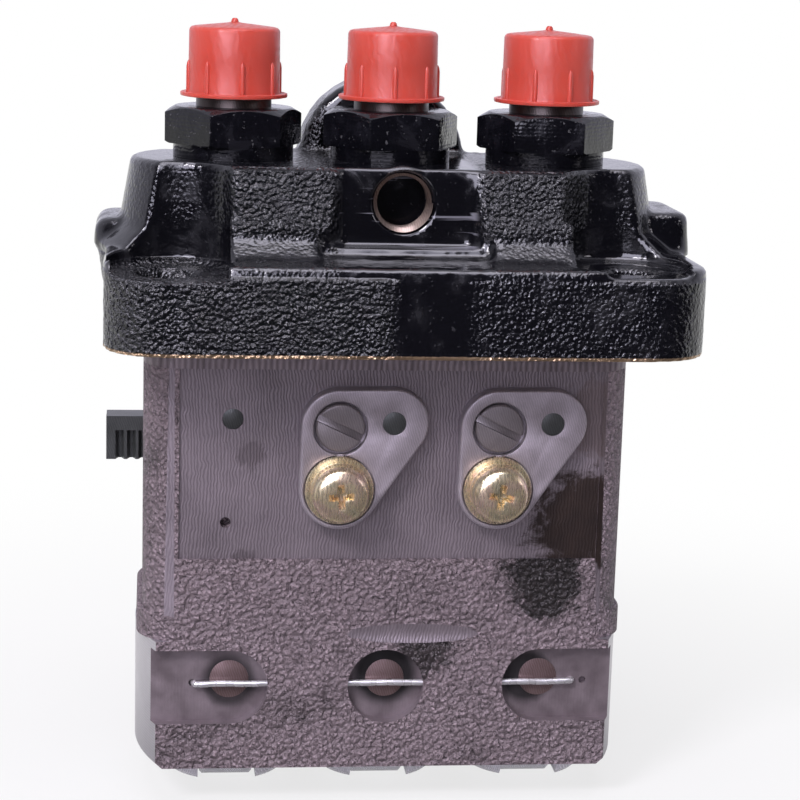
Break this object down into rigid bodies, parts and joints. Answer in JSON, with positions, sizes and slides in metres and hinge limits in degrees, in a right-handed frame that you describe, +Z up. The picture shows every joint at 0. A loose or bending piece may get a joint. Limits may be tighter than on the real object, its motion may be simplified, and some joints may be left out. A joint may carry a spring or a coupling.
{
  "type": "diesel injection pump",
  "caption": "In-line diesel injection pump with a bolted flange, capped outlets, a sliding control rack, toothed control sleeves, roller tappets and adjustable barrels",
  "frame": {"origin": "on the middle element's axis, in the plane of the flange's seating face", "axes": "+X along the row of elements away from the exposed rack end, +Y from the adjusting plates towards the fuel inlet, +Z up through the outlets"},
  "size_m": [0.0952, 0.062, 0.1246],
  "materials": {
    "cast_housing": "cast iron, flange and head coated in thick gloss black paint, lower body shot-blasted and bare",
    "black_paint": "thick gloss black paint",
    "orange_plastic": "soft orange-red polyethylene",
    "seal_rubber": "black nitrile rubber",
    "copper": "soft annealed copper",
    "spring_wire": "drawn spring wire",
    "yellow_zinc": "zinc plated, yellow passivated",
    "plate_steel": "satin steel plate",
    "dark_steel": "oiled dark steel",
    "brown_steel": "steel with a brown heat tint",
    "ground_steel": "hardened and ground steel"
  },
  "bodies": {
    "housing": {"pump_housing": "cast_housing", "fuel_gallery_plug": "dark_steel", "holder_o_rings": "seal_rubber", "delivery_gaskets": "copper", "tappet_guide_pins": "brown_steel", "guide_pin_retainers": "spring_wire", "barrel_locating_pin": "dark_steel", "plate_clamp_screws": "yellow_zinc", "clamp_washers": "yellow_zinc", "clamp_lock_washers": "yellow_zinc", "plunger_barrel_1": "ground_steel", "delivery_valve_holder_1": "black_paint", "delivery_valve_seat_1": "ground_steel", "upper_spring_seat_1": "ground_steel", "delivery_valve_holder_2": "black_paint", "delivery_valve_seat_2": "ground_steel", "upper_spring_seat_2": "ground_steel", "delivery_valve_holder_3": "black_paint", "delivery_valve_seat_3": "ground_steel", "upper_spring_seat_3": "ground_steel"},
    "rack": {"control_rack": "dark_steel", "rack_pin": "ground_steel"},
    "cap_1": {"protective_cap_1": "orange_plastic"},
    "sleeve_1": {"control_sleeve_1": "ground_steel"},
    "tappet_1": {"tappet_1": "ground_steel", "roller_pin_1": "ground_steel", "lower_spring_seat_1": "ground_steel", "plunger_spring_1": "spring_wire"},
    "roller_1": {"tappet_roller_1": "ground_steel"},
    "plunger_1": {"plunger_1": "ground_steel"},
    "delivery_valve_1": {"delivery_valve_1": "ground_steel", "delivery_valve_spring_1": "spring_wire"},
    "cap_2": {"protective_cap_2": "orange_plastic"},
    "sleeve_2": {"control_sleeve_2": "ground_steel"},
    "tappet_2": {"tappet_2": "ground_steel", "roller_pin_2": "ground_steel", "lower_spring_seat_2": "ground_steel", "plunger_spring_2": "spring_wire"},
    "roller_2": {"tappet_roller_2": "ground_steel"},
    "plunger_2": {"plunger_2": "ground_steel"},
    "delivery_valve_2": {"delivery_valve_2": "ground_steel", "delivery_valve_spring_2": "spring_wire"},
    "cap_3": {"protective_cap_3": "orange_plastic"},
    "sleeve_3": {"control_sleeve_3": "ground_steel"},
    "tappet_3": {"tappet_3": "ground_steel", "roller_pin_3": "ground_steel", "lower_spring_seat_3": "ground_steel", "plunger_spring_3": "spring_wire"},
    "roller_3": {"tappet_roller_3": "ground_steel"},
    "plunger_3": {"plunger_3": "ground_steel"},
    "delivery_valve_3": {"delivery_valve_3": "ground_steel", "delivery_valve_spring_3": "spring_wire"},
    "barrel_2": {"plunger_barrel_2": "ground_steel"},
    "plate_2": {"adjusting_plate_2": "plate_steel", "plate_pin_2": "dark_steel"},
    "eccentric_2": {"eccentric_screw_2": "dark_steel"},
    "barrel_3": {"plunger_barrel_3": "ground_steel"},
    "plate_3": {"adjusting_plate_3": "plate_steel", "plate_pin_3": "dark_steel"},
    "eccentric_3": {"eccentric_screw_3": "dark_steel"}
  },
  "joints": [
    {"name": "rack_slide", "type": "slide", "parent": "housing", "child": "rack", "axis": [1, 0, 0], "range_m": [-0.0055, 0.0055]},
    {"name": "cap_pull_1", "type": "slide", "parent": "housing", "child": "cap_1", "axis": [0, 0, 1], "range_m": [0, 0.012]},
    {"name": "sleeve_turn_1", "type": "hinge", "parent": "housing", "child": "sleeve_1", "pos_m": [-0.025, 0, -0.0312], "axis": [0, 0, 1], "range_deg": [-37.7, 37.7]},
    {"name": "tappet_lift_1", "type": "slide", "parent": "housing", "child": "tappet_1", "axis": [0, 0, 1], "range_m": [0, 0.008], "stiffness_N_per_m": 3000, "springref_m": -0.004, "deforming": ["plunger_spring_1"]},
    {"name": "roller_spin_1", "type": "hinge", "parent": "tappet_1", "child": "roller_1", "pos_m": [-0.025, 0, -0.069], "axis": [1, 0, 0], "continuous": true},
    {"name": "plunger_lift_1", "type": "slide", "parent": "sleeve_1", "child": "plunger_1", "axis": [0, 0, 1], "range_m": [0, 0.008]},
    {"name": "valve_lift_1", "type": "slide", "parent": "housing", "child": "delivery_valve_1", "axis": [0, 0, 1], "range_m": [0, 0.0025], "stiffness_N_per_m": 100, "springref_m": -0.002, "deforming": ["delivery_valve_spring_1"]},
    {"name": "cap_pull_2", "type": "slide", "parent": "housing", "child": "cap_2", "axis": [0, 0, 1], "range_m": [0, 0.012]},
    {"name": "sleeve_turn_2", "type": "hinge", "parent": "housing", "child": "sleeve_2", "pos_m": [0, 0, -0.0312], "axis": [0, 0, 1], "range_deg": [-37.7, 37.7]},
    {"name": "tappet_lift_2", "type": "slide", "parent": "housing", "child": "tappet_2", "axis": [0, 0, 1], "range_m": [0, 0.008], "stiffness_N_per_m": 3000, "springref_m": -0.004, "deforming": ["plunger_spring_2"]},
    {"name": "roller_spin_2", "type": "hinge", "parent": "tappet_2", "child": "roller_2", "pos_m": [0, 0, -0.069], "axis": [1, 0, 0], "continuous": true},
    {"name": "plunger_lift_2", "type": "slide", "parent": "sleeve_2", "child": "plunger_2", "axis": [0, 0, 1], "range_m": [0, 0.008]},
    {"name": "valve_lift_2", "type": "slide", "parent": "housing", "child": "delivery_valve_2", "axis": [0, 0, 1], "range_m": [0, 0.0025], "stiffness_N_per_m": 100, "springref_m": -0.002, "deforming": ["delivery_valve_spring_2"]},
    {"name": "cap_pull_3", "type": "slide", "parent": "housing", "child": "cap_3", "axis": [0, 0, 1], "range_m": [0, 0.012]},
    {"name": "sleeve_turn_3", "type": "hinge", "parent": "housing", "child": "sleeve_3", "pos_m": [0.025, 0, -0.0312], "axis": [0, 0, 1], "range_deg": [-37.7, 37.7]},
    {"name": "tappet_lift_3", "type": "slide", "parent": "housing", "child": "tappet_3", "axis": [0, 0, 1], "range_m": [0, 0.008], "stiffness_N_per_m": 3000, "springref_m": -0.004, "deforming": ["plunger_spring_3"]},
    {"name": "roller_spin_3", "type": "hinge", "parent": "tappet_3", "child": "roller_3", "pos_m": [0.025, 0, -0.069], "axis": [1, 0, 0], "continuous": true},
    {"name": "plunger_lift_3", "type": "slide", "parent": "sleeve_3", "child": "plunger_3", "axis": [0, 0, 1], "range_m": [0, 0.008]},
    {"name": "valve_lift_3", "type": "slide", "parent": "housing", "child": "delivery_valve_3", "axis": [0, 0, 1], "range_m": [0, 0.0025], "stiffness_N_per_m": 100, "springref_m": -0.002, "deforming": ["delivery_valve_spring_3"]},
    {"name": "barrel_turn_2", "type": "hinge", "parent": "housing", "child": "barrel_2", "pos_m": [0, 0, -0.0112], "axis": [0, 0, 1], "range_deg": [-3.3, 3.3]},
    {"name": "plate_swing_2", "type": "hinge", "parent": "housing", "child": "plate_2", "pos_m": [-0.0084, -0.0168, -0.0231], "axis": [0, 1, 0], "range_deg": [-2, 2]},
    {"name": "eccentric_turn_2", "type": "hinge", "parent": "housing", "child": "eccentric_2", "pos_m": [-0.0084, -0.0168, -0.0137], "axis": [0, 1, 0], "range_deg": [-40, 40]},
    {"name": "barrel_turn_3", "type": "hinge", "parent": "housing", "child": "barrel_3", "pos_m": [0.025, 0, -0.0112], "axis": [0, 0, 1], "range_deg": [-3.3, 3.3]},
    {"name": "plate_swing_3", "type": "hinge", "parent": "housing", "child": "plate_3", "pos_m": [0.0166, -0.0168, -0.0231], "axis": [0, 1, 0], "range_deg": [-2, 2]},
    {"name": "eccentric_turn_3", "type": "hinge", "parent": "housing", "child": "eccentric_3", "pos_m": [0.0166, -0.0168, -0.0137], "axis": [0, 1, 0], "range_deg": [-40, 40]}
  ],
  "couplings": [
    {"joint": "sleeve_turn_1", "follows": "rack_slide", "rad_per_m": -119.05},
    {"joint": "plunger_lift_1", "follows": "tappet_lift_1", "ratio": 1},
    {"joint": "sleeve_turn_2", "follows": "rack_slide", "rad_per_m": -119.05},
    {"joint": "plunger_lift_2", "follows": "tappet_lift_2", "ratio": 1},
    {"joint": "sleeve_turn_3", "follows": "rack_slide", "rad_per_m": -119.05},
    {"joint": "plunger_lift_3", "follows": "tappet_lift_3", "ratio": 1},
    {"joint": "plate_swing_2", "follows": "barrel_turn_2", "ratio": 0.598},
    {"joint": "eccentric_turn_2", "follows": "barrel_turn_2", "ratio": 11.84},
    {"joint": "plate_swing_3", "follows": "barrel_turn_3", "ratio": 0.598},
    {"joint": "eccentric_turn_3", "follows": "barrel_turn_3", "ratio": 11.84}
  ]
}
